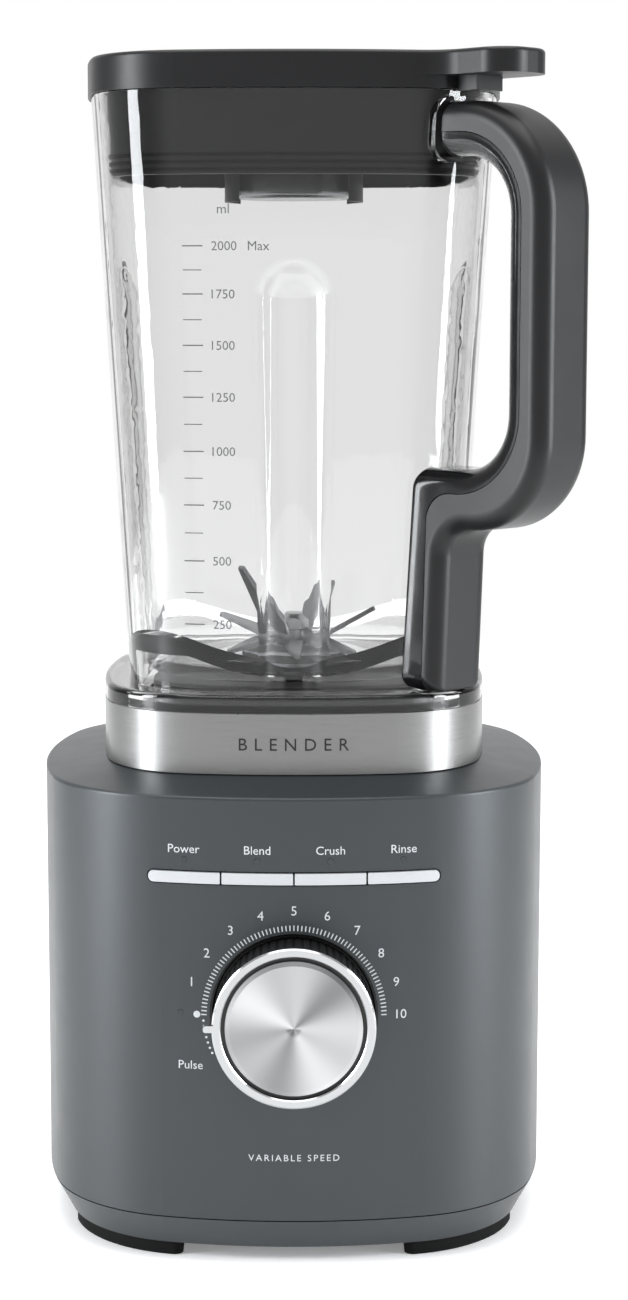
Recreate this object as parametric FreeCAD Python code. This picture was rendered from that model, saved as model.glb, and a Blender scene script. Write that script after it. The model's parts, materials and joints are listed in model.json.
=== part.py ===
import FreeCAD, Part
import math
import os
from FreeCAD import Placement, Rotation, Vector

# Countertop blender, in millimetres. The origin is on the table, on the drive axis.
# +Z is up, the controls face -Y, and the jar's handle points to the front right.

# ---- outlines: (half width, corner radius, radius of the shallow side arcs) ----
BASE = (91.5, 55.0, 189.0)
COLLAR = (69.6, 38.0, 215.0)
JAR_LOW = (60.6, 29.8, 174.0)
JAR_HIGH = (72.6, 36.0, 240.0)
LID = (73.7, 36.5, 245.0)

# ---- heights, from the table up ----
FOOT_H = 5.0
RIM_H = 11.2
SEAM = 0.4
HOUSING_H = 148.8
TOP_RISE = 3.8
COLLAR_GAP = 0.4
COLLAR_H = 21.2
JAR_GAP = 0.3
FLANGE_H = 6.2
JAR_BODY_H = 206.2
LID_H = 12.5

# ---- walls and clearances ----
BASE_WALL = 3.0
JAR_WALL = 3.5
BAND_WALL = 1.4
LID_WALL = 2.6
LID_PLATE_T = 5.5
FIT = 0.1
LOOSE = 0.4
APART = 1.0
RUN_FIT = 0.05

# ---- base ----
RIM_INSET = 6.1
EDGE_R = 1.2
FOOT_INSET = 7.5
FOOT_WIDE = 13.0
FOOT_START = 39.0
FOOT_PEG_R = 4.0
SCREW_OFFSET = 50.0
SCREW_R = 1.9
SCREW_HEAD_R = 3.7
SCREW_HEAD_H = 2.4
BOSS_R = 4.6
GLAND_Z = 31.0
CORD_R = 3.5
GLAND_WALL = 3.0
GLAND_DEEP = 9.0
VENT_COUNT = 14

# ---- front controls ----
DIAL_Z = 89.5
KNOB_R = 27.0
BEZEL_R = KNOB_R + 2.0
BEZEL_DEEP = 4.0
RING_R = KNOB_R + 0.8
RING_BORE_R = KNOB_R - 2.25
DISC_R = RING_BORE_R - 1.4
DISC_FACE_R = DISC_R - 1.5
KNOB_FRONT = 16.6
RING_H = 1.7
POINTER_R = RING_R + 2.9
POINTER_H = 2.35
DIAL_SHAFT_R = 3.0
ENCODER_HALF = 7.0
KNURLS = 60
BUTTON_Z = 137.5
BUTTON_H = 3.9
BUTTON_PITCH = 25.0
BUTTON_COUNT = 4
BUTTON_GAP = 0.6
BUTTON_SLOT = 0.5
BUTTON_PROUD = 0.7
BUTTON_THICK = 4.0
BUTTON_TRAVEL = 1.5
STEM_R = 1.5
LIGHT_R = 1.0
LIGHT_RISE = 6.1
POWER_LIGHT_X = -(KNOB_R + 12.0)
BOARD_DEPTH = 18.0
BOARD_T = 1.6
BOARD_HALF = 50.0
BOARD_MARGIN = 18.5
POST_IN = 4.5

# ---- motor ----
STATOR_HALF = (42.0, 38.0)
ROTOR_R = 21.0
AIR_GAP = 1.0
SHAFT_R = 4.0
BEARING_R = 11.0
BEARING_H = 7.0
POLE_HALF = 22.0
COIL_WIDE = 8.0
COIL_THICK = 8.0
COIL_Y = 24.5
COIL_OVER = 8.0
BOLT_Y = 14.5
COMMUTATOR_R = 11.0
COMMUTATOR_H = 10.0
BRUSH = (6.0, 15.0, 8.0)
BRACKET_HALF = 40.0
BRACKET_T = 3.5
LEG_FOOT_T = 4.0
DAMPER_OFFSET = 34.0
DAMPER_R = 6.0
DAMPER_H = 6.0
FAN_R = 34.0
FAN_H = 12.0
FAN_BLADES = 11
DUCT_WALL = 2.5

# ---- drive and blades ----
COUPLING_R = 17.0
COUPLING_H = 15.0
SOCKET_DEPTH = 9.0
SPLINE_R = 7.5
SPLINE_TIP_R = 9.5
SPLINE_WIDE = 3.6
SPLINE_TEETH = 6
SEAL_R = 9.0
HOUSING_R = 14.0
CARRIER_LIP = 5.0
NUT_R = 22.0
NUT_H = 7.0
BLADE_T = 1.6
BLADE_TIP_R = 30.0
ARM_WIDE = 10.0
ARM_TIP_WIDE = 2.2

# ---- jar and handle ----
SKIRT_WALL = 3.0
SKIRT_H = 16.0
JAR_FLOOR_T = 4.0
BOWL_R = JAR_LOW[0] - 8.0
BOWL_ROUND = 18.0
HOLLOW_H = 12.0
FLUTE_R = 14.0
FLUTE_OUT = 10.0
FLUTE_DEEPER = 2.0
FLUTE_TOP = JAR_BODY_H - 56.5
FLUTE_ROUND = 4.0
HANDLE_HALF = 13.5
GRIP_IN = 111.0
GRIP_T = 18.0
GRIP_INNER_R = 20.0
ARM_LOW = 64.0
HANDLE_DROP = 4.0
LOW_ARM_T = 20.5
HIGH_ARM_T = 18.5
LINER_T = 8.0
STRIP_R = (82.0, 84.5)
SHELL_ROUND = 6.0
LINER_ROUND = 7.0
BOSS_PLATE = 3.0
BOSS_MARGIN = 1.8
PARTING = 0.25
HANDLE_SCREW_R = 1.5

# ---- lid and filler cap ----
INSERT_H = 28.3
SEAL_COUNT = 3
SEAL_PITCH = 2.5
SEAL_H = 1.3
NECK_R = 25.0
NECK_WALL = 1.2
NECK_H = 48.4
NECK_WINDOW = 19.5
CAP_R = 30.0
CAP_T = 3.2
CUP_WALL = 1.6
TAB_R = 112.0
TAB_ROUND = 11.0
TAB_H = 8.3
POST_HALF = 6.7
POST_R = 89.0

# ---- levels worked out from the heights ----
Z_RIM = FOOT_H + RIM_H
Z_HOUSING = Z_RIM + SEAM
Z_SHOULDER = Z_HOUSING + HOUSING_H
Z_TOP = Z_SHOULDER + TOP_RISE
Z_COLLAR = Z_TOP + COLLAR_GAP
Z_COLLAR_TOP = Z_COLLAR + COLLAR_H
Z_JAR = Z_COLLAR_TOP + JAR_GAP
Z_FLANGE = Z_JAR + FLANGE_H
Z_FLOOR = Z_FLANGE + 5.7
Z_JAR_TOP = Z_FLANGE + JAR_BODY_H
Z_LID = Z_JAR_TOP + JAR_GAP
Z_LID_TOP = Z_LID + LID_H
PLATE_T = 4.0
Z_PLATE = FOOT_H + PLATE_T
UP = Vector(0, 0, 1)
EDGE_GAP = 0.001


# ---------------------------------------------------------------- shape tools
def inset(outline, gap):
    """The same outline, moved inwards by gap all round."""
    return tuple(size - gap for size in outline)


def blend(low, high, share):
    """The outline a share of the way from one outline to another."""
    return tuple(start + (end - start) * share for start, end in zip(low, high))


def corner_reach(outline):
    """Distance from the axis to the outline along a diagonal."""
    half, corner, side = outline
    flat = half - side
    centre = (flat + math.sqrt(2 * (side - corner) ** 2 - flat ** 2)) / 2
    return centre * math.sqrt(2) + corner


def side_depth(outline, across):
    """Distance from the axis plane to a side arc, at a distance across it."""
    half, _, side = outline
    return half - side + math.sqrt(side ** 2 - across ** 2)


def squircle(outline, z):
    """Closed wire of four shallow side arcs joined by four tangent corner arcs."""
    half, corner, side = outline
    flat = half - side
    centre = (flat + math.sqrt(2 * (side - corner) ** 2 - flat ** 2)) / 2
    reach = side / (side - corner)
    tangent_x = reach * centre
    tangent_y = flat + reach * (centre - flat)
    diagonal = centre + corner / math.sqrt(2)
    edges = []
    for quarter in range(4):
        turn = Rotation(UP, -90 * quarter)
        place = Placement(Vector(0, 0, z), turn)
        start = place.multVec(Vector(-tangent_x, tangent_y, 0))
        middle = place.multVec(Vector(0, half, 0))
        end = place.multVec(Vector(tangent_x, tangent_y, 0))
        beyond = place.multVec(Vector(diagonal, diagonal, 0))
        following = place.multVec(Vector(tangent_y, tangent_x, 0))
        edges.append(Part.Arc(start, middle, end).toShape())
        edges.append(Part.Arc(end, beyond, following).toShape())
    return Part.Wire(edges)


def prism(outline, low, high):
    return Part.Face(squircle(outline, low)).extrude(UP * (high - low))


def tube_prism(outline, wall, low, high):
    return prism(outline, low, high).cut(prism(inset(outline, wall), low - 1, high + 1))


def taper(lower, low, upper, high):
    return Part.makeLoft([squircle(lower, low), squircle(upper, high)], True, True)


def box(x, y, z):
    """Box from three (low, high) pairs."""
    size = [pair[1] - pair[0] for pair in (x, y, z)]
    return Part.makeBox(size[0], size[1], size[2], Vector(x[0], y[0], z[0]))


def rod(radius, low, high, x=0.0, y=0.0):
    return Part.makeCylinder(radius, high - low, Vector(x, y, low))


def ring(outer, inner, low, high, x=0.0, y=0.0):
    return rod(outer, low, high, x, y).cut(rod(inner, low - 1, high + 1, x, y))


def rounded_face(corners, plane):
    """Face through (a, b, radius) corners; plane turns (a, b) into a point."""
    edges = []
    ends = []
    count = len(corners)
    for index, (a, b, radius) in enumerate(corners):
        here = plane(a, b)
        if radius <= 0:
            ends.append((here, here))
            continue
        back = (plane(*corners[index - 1][:2]) - here).normalize()
        ahead = (plane(*corners[(index + 1) % count][:2]) - here).normalize()
        half_angle = back.getAngle(ahead) / 2
        run = radius / math.tan(half_angle)
        middle_way = (back + ahead).normalize()
        middle = here + middle_way * (radius / math.sin(half_angle) - radius)
        start = here + back * run
        end = here + ahead * run
        edges.append(Part.Arc(start, middle, end).toShape())
        ends.append((start, end))
    for index in range(count):
        start = ends[index][1]
        end = ends[(index + 1) % count][0]
        if start.distanceToPoint(end) > EDGE_GAP:
            edges.append(Part.makeLine(start, end))
    return Part.Face(Part.Wire(Part.__sortEdges__(edges)))


def turned(points):
    """Solid of revolution about Z from (radius, height) points."""
    face = rounded_face([(p[0], p[1], p[2] if len(p) > 2 else 0) for p in points],
                        lambda a, b: Vector(a, 0, b))
    return face.revolve(Vector(0, 0, 0), UP, 360)


def joined(shapes):
    """One clean solid from overlapping shapes."""
    return shapes[0].multiFuse(shapes[1:]).removeSplitter()


def around(shape, count, start=0.0):
    """Copies of a shape, evenly turned about Z."""
    copies = []
    for index in range(count):
        copy = shape.copy()
        copy.rotate(Vector(0, 0, 0), UP, start + 360.0 * index / count)
        copies.append(copy)
    return copies


def corners4(offset):
    """The four (x, y) places at one distance from both axis planes."""
    return [(sx * offset, sy * offset) for sx in (-1, 1) for sy in (-1, 1)]


def to_front(shape, z):
    """Turns a shape built along Z so that it points out of the front, at a height."""
    moved = shape.copy()
    moved.Placement = Placement(Vector(0, 0, z), Rotation(Vector(1, 0, 0), 90))
    return moved


def to_handle(shape):
    """Turns a shape built along X to the front right corner, where the handle is."""
    moved = shape.copy()
    moved.rotate(Vector(0, 0, 0), UP, -45)
    return moved


def screw(x, y, low, high, head_up, radius=SCREW_R, head_r=SCREW_HEAD_R, head_h=SCREW_HEAD_H):
    """Pan head screw along Z between two heights, with a crossed slot in its head."""
    if head_up:
        head = rod(head_r, high - head_h, high, x, y)
        slot_low = high - head_h / 2
    else:
        head = rod(head_r, low, low + head_h, x, y)
        slot_low = low - head_h / 2
    body = joined([rod(radius, low, high, x, y), head])
    arm = head_r * 0.6
    thin = head_r * 0.14
    first = box((x - arm, x + arm), (y - thin, y + thin), (slot_low, slot_low + head_h))
    second = box((x - thin, x + thin), (y - arm, y + arm), (slot_low, slot_low + head_h))
    return body.cut(first).cut(second)


# ---------------------------------------------------------------- base shells
def screw_bosses(radius, low, high):
    return [rod(radius, low, high, x, y) for x, y in corners4(SCREW_OFFSET)]


def motor_housing():
    """Shell with a sloped top, open below, with the openings of the controls."""
    outer = joined([prism(BASE, Z_HOUSING, Z_SHOULDER), taper(BASE, Z_SHOULDER, COLLAR, Z_TOP)])
    shoulder = [edge for edge in outer.Edges
                if abs(edge.BoundBox.ZMin - Z_SHOULDER) < EDGE_GAP
                and abs(edge.BoundBox.ZMax - Z_SHOULDER) < EDGE_GAP]
    outer = outer.makeFillet(EDGE_R, shoulder)
    inside = inset(BASE, BASE_WALL)
    under_top = inset(COLLAR, BASE_WALL)
    cavity = joined([prism(inside, Z_HOUSING - 1, Z_SHOULDER - BASE_WALL),
                     taper(inside, Z_SHOULDER - BASE_WALL, under_top, Z_TOP - BASE_WALL)])
    shell = outer.cut(cavity)
    shell = shell.cut(prism(SEAT_OPENING, Z_TOP - 2 * BASE_WALL, Z_TOP + 1))
    bosses = screw_bosses(BOSS_R, Z_PLATE, Z_PLATE + 30)
    rib = box((SCREW_OFFSET * math.sqrt(2), corner_reach(BASE)), (-1.5, 1.5),
              (Z_HOUSING + 4, Z_PLATE + 30))
    bosses += around(rib, 4, 45)
    for x, y in corners4(SEAT_SCREW_OFFSET):
        bosses.append(rod(3.6, Z_TOP - 14, Z_TOP - 1, x, y))
    for x, z in BOARD_POSTS:
        bosses.append(to_front(rod(3.2, BOARD_Y, side_depth(BASE, x) - 1.5, x, z - DIAL_Z), DIAL_Z))
    shell = joined([shell] + [boss.common(joined([outer, cavity])) for boss in bosses])
    for hole in screw_bosses(SCREW_R, Z_PLATE - 1, Z_PLATE + 22):
        shell = shell.cut(hole)
    for x, y in corners4(SEAT_SCREW_OFFSET):
        shell = shell.cut(rod(1.6, Z_TOP - 12, Z_TOP + 1, x, y))
    for x, z in BOARD_POSTS:
        shell = shell.cut(to_front(rod(1.3, BOARD_Y - 1, BOARD_Y + 6, x, z - DIAL_Z), DIAL_Z))
    shell = shell.cut(to_front(rod(BEZEL_R, BOARD_Y, BASE[0] + 1), DIAL_Z))
    slot_x = BUTTON_COUNT * BUTTON_PITCH / 2 + BUTTON_SLOT
    slot_z = BUTTON_H / 2 + BUTTON_SLOT
    slot_face = rounded_face([(-slot_x, -slot_z, slot_z * 0.95), (slot_x, -slot_z, slot_z * 0.95),
                              (slot_x, slot_z, slot_z * 0.95), (-slot_x, slot_z, slot_z * 0.95)],
                             lambda a, b: Vector(a, b, 0))
    slot = slot_face.extrude(UP * (BASE[0] + 1))
    shell = shell.cut(to_front(slot, BUTTON_Z))
    for x, z in LIGHTS:
        hole = rod(LIGHT_R + RUN_FIT, BOARD_Y, BASE[0] + 1, x, z - DIAL_Z)
        shell = shell.cut(to_front(hole, DIAL_Z))
    gland = Part.makeCylinder(GLAND_R, 2 * BASE_WALL + 2, Vector(0, BASE[0] - 2 * BASE_WALL, GLAND_Z),
                              Vector(0, 1, 0))
    return shell.cut(gland)


def base_plate():
    """Tray that closes the base: a tapered rim, vents under the fan, and screw wells."""
    low_outline = inset(BASE, RIM_INSET)
    outer = taper(low_outline, FOOT_H, BASE, Z_RIM)
    cavity = taper(inset(low_outline, BASE_WALL), Z_PLATE, inset(BASE, BASE_WALL), Z_RIM + EDGE_GAP)
    tray = outer.cut(cavity)
    tongue_outline = inset(BASE, BASE_WALL + FIT)
    tongue = tube_prism(tongue_outline, 1.6, Z_RIM - 3.0, Z_HOUSING + 3.0)
    shell = joined([tray, tongue])
    vent = box((FAN_R * 0.35, FAN_R * 0.92), (-1.6, 1.6), (FOOT_H - 1, Z_PLATE + 1))
    for slot in around(vent, VENT_COUNT):
        shell = shell.cut(slot)
    for x, y in corners4(SCREW_OFFSET):
        shell = shell.cut(rod(SCREW_R + FIT, FOOT_H - 1, Z_PLATE + 1, x, y))
        shell = shell.cut(rod(SCREW_HEAD_R + FIT, FOOT_H - 1, FOOT_H + SCREW_HEAD_H + 0.2, x, y))
    for x, y in corners4(FOOT_PEG):
        shell = shell.cut(rod(FOOT_PEG_R, FOOT_H - 1, Z_PLATE + 1, x, y))
    return shell


def feet():
    """Four crescent feet that follow the corners of the base, each with a peg."""
    outer = prism(inset(BASE, FOOT_INSET), 0, FOOT_H)
    band = outer.cut(prism(inset(BASE, FOOT_INSET + FOOT_WIDE), -1, FOOT_H + 1))
    far = BASE[0] + 1
    solids = []
    for side_x in (-1, 1):
        for side_y in (-1, 1):
            span_x = sorted((side_x * FOOT_START, side_x * far))
            span_y = sorted((side_y * FOOT_START, side_y * far))
            foot = band.common(box(span_x, span_y, (-1, FOOT_H + 1)))
            upright = [edge for edge in foot.Edges if edge.BoundBox.ZLength > FOOT_H - 0.1
                       and min(abs(abs(edge.BoundBox.XMin) - FOOT_START),
                               abs(abs(edge.BoundBox.YMin) - FOOT_START)) < 0.1]
            foot = foot.makeFillet(3.0, upright)
            peg = rod(FOOT_PEG_R, FOOT_H - 1, Z_PLATE, side_x * FOOT_PEG, side_y * FOOT_PEG)
            solids.append(joined([foot, peg]))
    return solids


def collar_band():
    return tube_prism(COLLAR, BAND_WALL, Z_COLLAR, Z_COLLAR_TOP)


def jar_seat():
    """Raised square seat that the jar drops over, with a well for the drive coupling."""
    plate = prism(inset(COLLAR, BAND_WALL + LOOSE), Z_TOP, Z_SEAT)
    plug = prism(inset(SEAT_OPENING, LOOSE), Z_TOP - 9, Z_TOP)
    raised = prism(SEAT_RAISED, Z_SEAT, Z_SEAT_TOP)
    posts = [rod(DAMPER_R, Z_MOUNT, Z_TOP, x, y) for x, y in corners4(DAMPER_OFFSET)]
    seat = joined([plate, plug, raised] + posts)
    well = rod(COUPLING_R + 3 * APART, Z_TOP - 5.5, Z_SEAT_TOP + 1)
    seat = seat.cut(well).cut(rod(SHAFT_R + APART, Z_TOP - 10, Z_TOP))
    seat = seat.cut(rod(NUT_R + 2 * APART, Z_FLOOR - JAR_FLOOR_T - NUT_H - 2, Z_SEAT_TOP + 1))
    hollow = prism(inset(SEAT_RAISED, 3), Z_TOP - 10, Z_TOP - 5.5)
    keep = [rod(DAMPER_R + 1, Z_TOP - 11, Z_TOP, x, y) for x, y in corners4(DAMPER_OFFSET)]
    keep.append(rod(COUPLING_R + 7, Z_TOP - 11, Z_TOP))
    seat = seat.cut(hollow.cut(joined(keep)))
    for x, y in corners4(DAMPER_OFFSET):
        seat = seat.cut(rod(SCREW_R, Z_MOUNT - 1, Z_MOUNT + 16, x, y))
    for x, y in corners4(SEAT_SCREW_OFFSET):
        seat = seat.cut(rod(1.8, Z_TOP - 1, Z_SEAT + 1, x, y))
        seat = seat.cut(rod(3.3, Z_SEAT - 1.9, Z_SEAT + 1, x, y))
    return seat


def seat_damper():
    """Rubber ring round the raised seat, under the skirt of the jar."""
    return tube_prism(inset(COLLAR, BAND_WALL + 2 * APART), 6.5, Z_SEAT, Z_DAMPER)


def cord_gland():
    """Flanged bush in the rear wall that the supply lead passes through."""
    rear = BASE[0]
    flange = rod(GLAND_R + 2.5, rear - 0.2, rear + 2.2)
    bush = joined([rod(GLAND_R - FIT, rear - GLAND_DEEP, rear + 1), flange])
    bush = bush.cut(rod(CORD_R + 0.1, rear - GLAND_DEEP - 1, rear + 3))
    bush.Placement = Placement(Vector(0, 0, GLAND_Z), Rotation(Vector(1, 0, 0), -90))
    opening = Part.makeCylinder(GLAND_R, 20, Vector(0, rear - 15, GLAND_Z), Vector(0, 1, 0))
    wall = tube_prism(BASE, BASE_WALL, 0, Z_TOP).cut(opening)
    return bush.cut(wall)


# ---------------------------------------------------------------- motor
def bracket(z, legs_to, boss_up):
    """Square end plate with a bearing pocket, air windows and two legs to the stator."""
    plate = box((-BRACKET_HALF, BRACKET_HALF), (-BRACKET_HALF, BRACKET_HALF), (z, z + BRACKET_T))
    boss = rod(BEARING_R + 3, z, z + BEARING_H + 1.0) if boss_up else \
        rod(BEARING_R + 3, z + BRACKET_T - BEARING_H - 1.0, z + BRACKET_T)
    parts = [plate, boss]
    leg_low, leg_high = sorted((z + (0 if boss_up else BRACKET_T), legs_to))
    foot_low = legs_to if boss_up else legs_to - LEG_FOOT_T
    for side in (-1, 1):
        outer_x = sorted((side * BRACKET_HALF, side * (BRACKET_HALF - 4)))
        foot_x = sorted((side * BRACKET_HALF, side * (POLE_HALF + COIL_WIDE + 1.5)))
        parts.append(box(outer_x, (-9, 9), (leg_low, leg_high)))
        parts.append(box(foot_x, (-BOLT_Y - 5, BOLT_Y + 5), (foot_low, foot_low + LEG_FOOT_T)))
    body = joined(parts)
    pocket_low = z if boss_up else z + BRACKET_T - BEARING_H
    body = body.cut(rod(BEARING_R, pocket_low, pocket_low + BEARING_H))
    body = body.cut(rod(SHAFT_R + APART, z - 20, z + 20))
    window = box((20, 30), (-8, 8), (z - 1, z + BRACKET_T + 1))
    for hole in around(window, 4, 45):
        body = body.cut(hole)
    for x, y in corners4(DAMPER_OFFSET):
        body = body.cut(rod(SCREW_R + FIT, z - 1, z + BRACKET_T + 1, x, y))
    for x, y in BOLTS:
        body = body.cut(rod(SCREW_R + FIT, foot_low - 1, foot_low + LEG_FOOT_T + 1, x, y))
    return body


def stator_core():
    """Laminated field core with two poles, slots for the windings and bolt holes."""
    half_x, half_y = STATOR_HALF
    face = rounded_face([(-half_x, -half_y, 8), (half_x, -half_y, 8),
                         (half_x, half_y, 8), (-half_x, half_y, 8)], lambda a, b: Vector(a, b, Z_CORE))
    core = face.extrude(UP * CORE_H)
    core = core.cut(rod(ROTOR_R + AIR_GAP, Z_CORE - 1, Z_CORE + CORE_H + 1))
    for side_x in (-1, 1):
        for side_y in (-1, 1):
            slot_x = sorted((side_x * POLE_HALF, side_x * (POLE_HALF + COIL_WIDE)))
            slot_y = sorted((side_y * (COIL_Y - FIT), side_y * (COIL_Y + COIL_THICK + FIT)))
            core = core.cut(box(slot_x, slot_y, (Z_CORE - 1, Z_CORE + CORE_H + 1)))
    for x, y in BOLTS:
        core = core.cut(rod(SCREW_R + FIT, Z_CORE - 1, Z_CORE + CORE_H + 1, x, y))
    return core


def field_windings():
    """Two flat coils, one round each pole."""
    coils = []
    outer_x = POLE_HALF + COIL_WIDE - FIT
    inner_x = POLE_HALF + FIT
    for side in (-1, 1):
        span_y = sorted((side * COIL_Y, side * (COIL_Y + COIL_THICK)))
        coil = box((-outer_x, outer_x), span_y, (Z_CORE - COIL_OVER, Z_CORE + CORE_H + COIL_OVER))
        eye = box((-inner_x, inner_x), (span_y[0] - 1, span_y[1] + 1),
                  (Z_CORE - FIT, Z_CORE + CORE_H + FIT))
        round_edges = [edge for edge in coil.Edges if edge.BoundBox.YLength > COIL_THICK - 0.1]
        coils.append(coil.makeFillet(5.0, round_edges).cut(eye))
    return coils


def bearing(low, bore=SHAFT_R, radius=BEARING_R, high=BEARING_H):
    """Ball bearing as one piece: two races with a shielded groove in each face."""
    body = ring(radius, bore, low, low + high)
    middle = (radius + bore) / 2
    for groove_low in (low - 1, low + high - 0.5):
        body = body.cut(ring(middle + 1.6, middle - 1.6, groove_low, groove_low + 1.5))
    return body


def brush_holders():
    wide, long, high = BRUSH
    solids = []
    for side in (-1, 1):
        span_y = sorted((side * (COMMUTATOR_R + 2), side * (COMMUTATOR_R + 2 + long + 4)))
        holder = box((-wide / 2 - 2, wide / 2 + 2), span_y, (Z_BRUSH - high / 2 - 2, Z_UPPER))
        slot_y = (span_y[0] - 1, span_y[1] - 1.5) if side > 0 else (span_y[0] + 1.5, span_y[1] + 1)
        solids.append(holder.cut(box((-wide / 2 - FIT, wide / 2 + FIT), slot_y,
                                     (Z_BRUSH - high / 2 - FIT, Z_BRUSH + high / 2 + FIT))))
    return solids


def carbon_brushes():
    wide, long, high = BRUSH
    solids = []
    for side in (-1, 1):
        tip = side * (COMMUTATOR_R + LOOSE)
        span_y = sorted((tip, side * (COMMUTATOR_R + LOOSE + long)))
        solids.append(box((-wide / 2, wide / 2), span_y, (Z_BRUSH - high / 2, Z_BRUSH + high / 2)))
    return solids


def motor_dampers():
    """Rubber mounts between the upper bracket and the posts of the seat."""
    return [ring(DAMPER_R, SCREW_R + FIT, Z_MOUNT - DAMPER_H, Z_MOUNT, x, y)
            for x, y in corners4(DAMPER_OFFSET)]


def armature_core():
    core = ring(ROTOR_R, SHAFT_R, Z_CORE, Z_CORE + CORE_H)
    slot = box((ROTOR_R - 7, ROTOR_R + 1), (-1.1, 1.1), (Z_CORE - 1, Z_CORE + CORE_H + 1))
    for cut in around(slot, 12):
        core = core.cut(cut)
    return core


def armature_windings():
    """End turns of the armature, above and below its core."""
    return [turned([(SHAFT_R, Z_CORE - 9), (ROTOR_R - 5, Z_CORE - 9, 3), (ROTOR_R - 2, Z_CORE),
                    (SHAFT_R, Z_CORE)]),
            turned([(SHAFT_R, Z_CORE + CORE_H), (ROTOR_R - 2, Z_CORE + CORE_H),
                    (ROTOR_R - 5, Z_CORE + CORE_H + 8, 3), (SHAFT_R, Z_CORE + CORE_H + 8)])]


def commutator():
    drum = ring(COMMUTATOR_R, SHAFT_R, Z_BRUSH - COMMUTATOR_H / 2, Z_BRUSH + COMMUTATOR_H / 2)
    slit = box((COMMUTATOR_R - 2, COMMUTATOR_R + 1), (-0.25, 0.25),
               (Z_BRUSH - COMMUTATOR_H, Z_BRUSH + COMMUTATOR_H))
    for cut in around(slit, 24):
        drum = drum.cut(cut)
    return drum


def cooling_fan():
    """Radial fan: a hub, a back plate and slanted blades."""
    hub = rod(9, Z_FAN, Z_FAN + FAN_H)
    plate = rod(FAN_R, Z_FAN + FAN_H - 1.6, Z_FAN + FAN_H)
    blade = box((7, FAN_R - 1), (-0.8, 0.8), (Z_FAN + 1, Z_FAN + FAN_H))
    blade.rotate(Vector(7, 0, 0), UP, 20)
    trimmed = [copy.common(rod(FAN_R, Z_FAN, Z_FAN + FAN_H)) for copy in around(blade, FAN_BLADES)]
    return joined([hub, plate] + trimmed).cut(rod(SHAFT_R, Z_FAN - 1, Z_FAN + FAN_H + 1))


def air_duct():
    """Short chimney that leads the fan's air down to the vents."""
    return ring(FAN_R + 2 + DUCT_WALL, FAN_R + 2, Z_PLATE, Z_FAN + FAN_H)


def splined(tip, root, wide, low, high):
    """Round bar with radial teeth."""
    tooth = box((0, tip), (-wide / 2, wide / 2), (low, high))
    return joined([rod(root, low, high)] + around(tooth, SPLINE_TEETH))


def drive_coupling():
    """Rubber-faced cup on the motor shaft, with a splined socket for the jar's coupling."""
    body = turned([(0, Z_DRIVE), (COUPLING_R - 4, Z_DRIVE), (COUPLING_R, Z_DRIVE + 5, 2),
                   (COUPLING_R, Z_DRIVE + COUPLING_H, 1.5), (0, Z_DRIVE + COUPLING_H)])
    socket = splined(SPLINE_TIP_R + 0.7, SPLINE_R + 0.7, SPLINE_WIDE + 1.2,
                     Z_DRIVE + COUPLING_H - SOCKET_DEPTH, Z_DRIVE + COUPLING_H + 1)
    return body.cut(socket).cut(rod(SHAFT_R, Z_DRIVE - 1, Z_SHAFT_TOP))


# ---------------------------------------------------------------- controls
def dial_bezel():
    """Dished ring set in the front wall round the knob."""
    dish = turned([(0, BEZEL_BACK), (BEZEL_R + 4, BEZEL_BACK), (BEZEL_R + 4, BEZEL_BACK + 1.6),
                   (BEZEL_R - FIT, BEZEL_BACK + 1.6), (BEZEL_R - FIT, BEZEL_FRONT),
                   (BEZEL_R - 0.8, BEZEL_FRONT), (KNOB_R + 0.5, BEZEL_FLOOR), (0, BEZEL_FLOOR)])
    dish = dish.cut(rod(DIAL_SHAFT_R + 2.0, BEZEL_BACK - 1, BEZEL_FRONT + 1))
    return to_front(dish, DIAL_Z)


def dial_encoder():
    """Rotary encoder on the board, with its bush through the bezel."""
    half = ENCODER_HALF
    body = box((-half, half), (-half, half), (BOARD_Y, BEZEL_BACK))
    bush = rod(DIAL_SHAFT_R + 1.9, BEZEL_BACK - 1, BEZEL_FLOOR + 2.5)
    unit = joined([body, bush])
    bore = rod(DIAL_SHAFT_R + RUN_FIT, DIAL_SHAFT_LOW - 0.5, BEZEL_FLOOR + 4)
    return to_front(unit.cut(bore), DIAL_Z)


def knob_grip():
    """Knurled black drum of the dial, hollow behind."""
    face = KNOB_FACE - RING_H
    drum = rod(KNOB_R, BEZEL_FLOOR + APART, face)
    notch = rod(0.75, BEZEL_FLOOR, face + 1, KNOB_R + 0.35)
    for cut in around(notch, KNURLS):
        drum = drum.cut(cut)
    hub = rod(DIAL_SHAFT_R + 5, BEZEL_FLOOR + 4, face)
    drum = drum.cut(rod(KNOB_R - 4, BEZEL_FLOOR, face - 6).cut(hub))
    drum = drum.cut(rod(DIAL_SHAFT_R + 3, BEZEL_FLOOR - 1, BEZEL_FLOOR + 4))
    return to_front(drum.cut(rod(DIAL_SHAFT_R, BEZEL_FLOOR, face - 3)), DIAL_Z)


def knob_ring():
    """Bright ring on the front of the dial, with the pointer on its rim."""
    low = KNOB_FACE - RING_H
    band = turned([(RING_BORE_R, low), (RING_R - 0.6, low), (RING_R, low + 0.6),
                   (RING_R, KNOB_FACE - 0.5), (RING_R - 0.5, KNOB_FACE),
                   (RING_BORE_R + 0.4, KNOB_FACE), (RING_BORE_R, KNOB_FACE - 0.4)])
    pointer = rounded_face([(-RING_R + 1, -POINTER_H / 2, 0), (-RING_R + 1, POINTER_H / 2, 0),
                            (-POINTER_R, POINTER_H / 2, 0.9), (-POINTER_R, -POINTER_H / 2, 0.9)],
                           lambda a, b: Vector(a, b, low)).extrude(UP * RING_H)
    return to_front(joined([band, pointer]), DIAL_Z)


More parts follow.
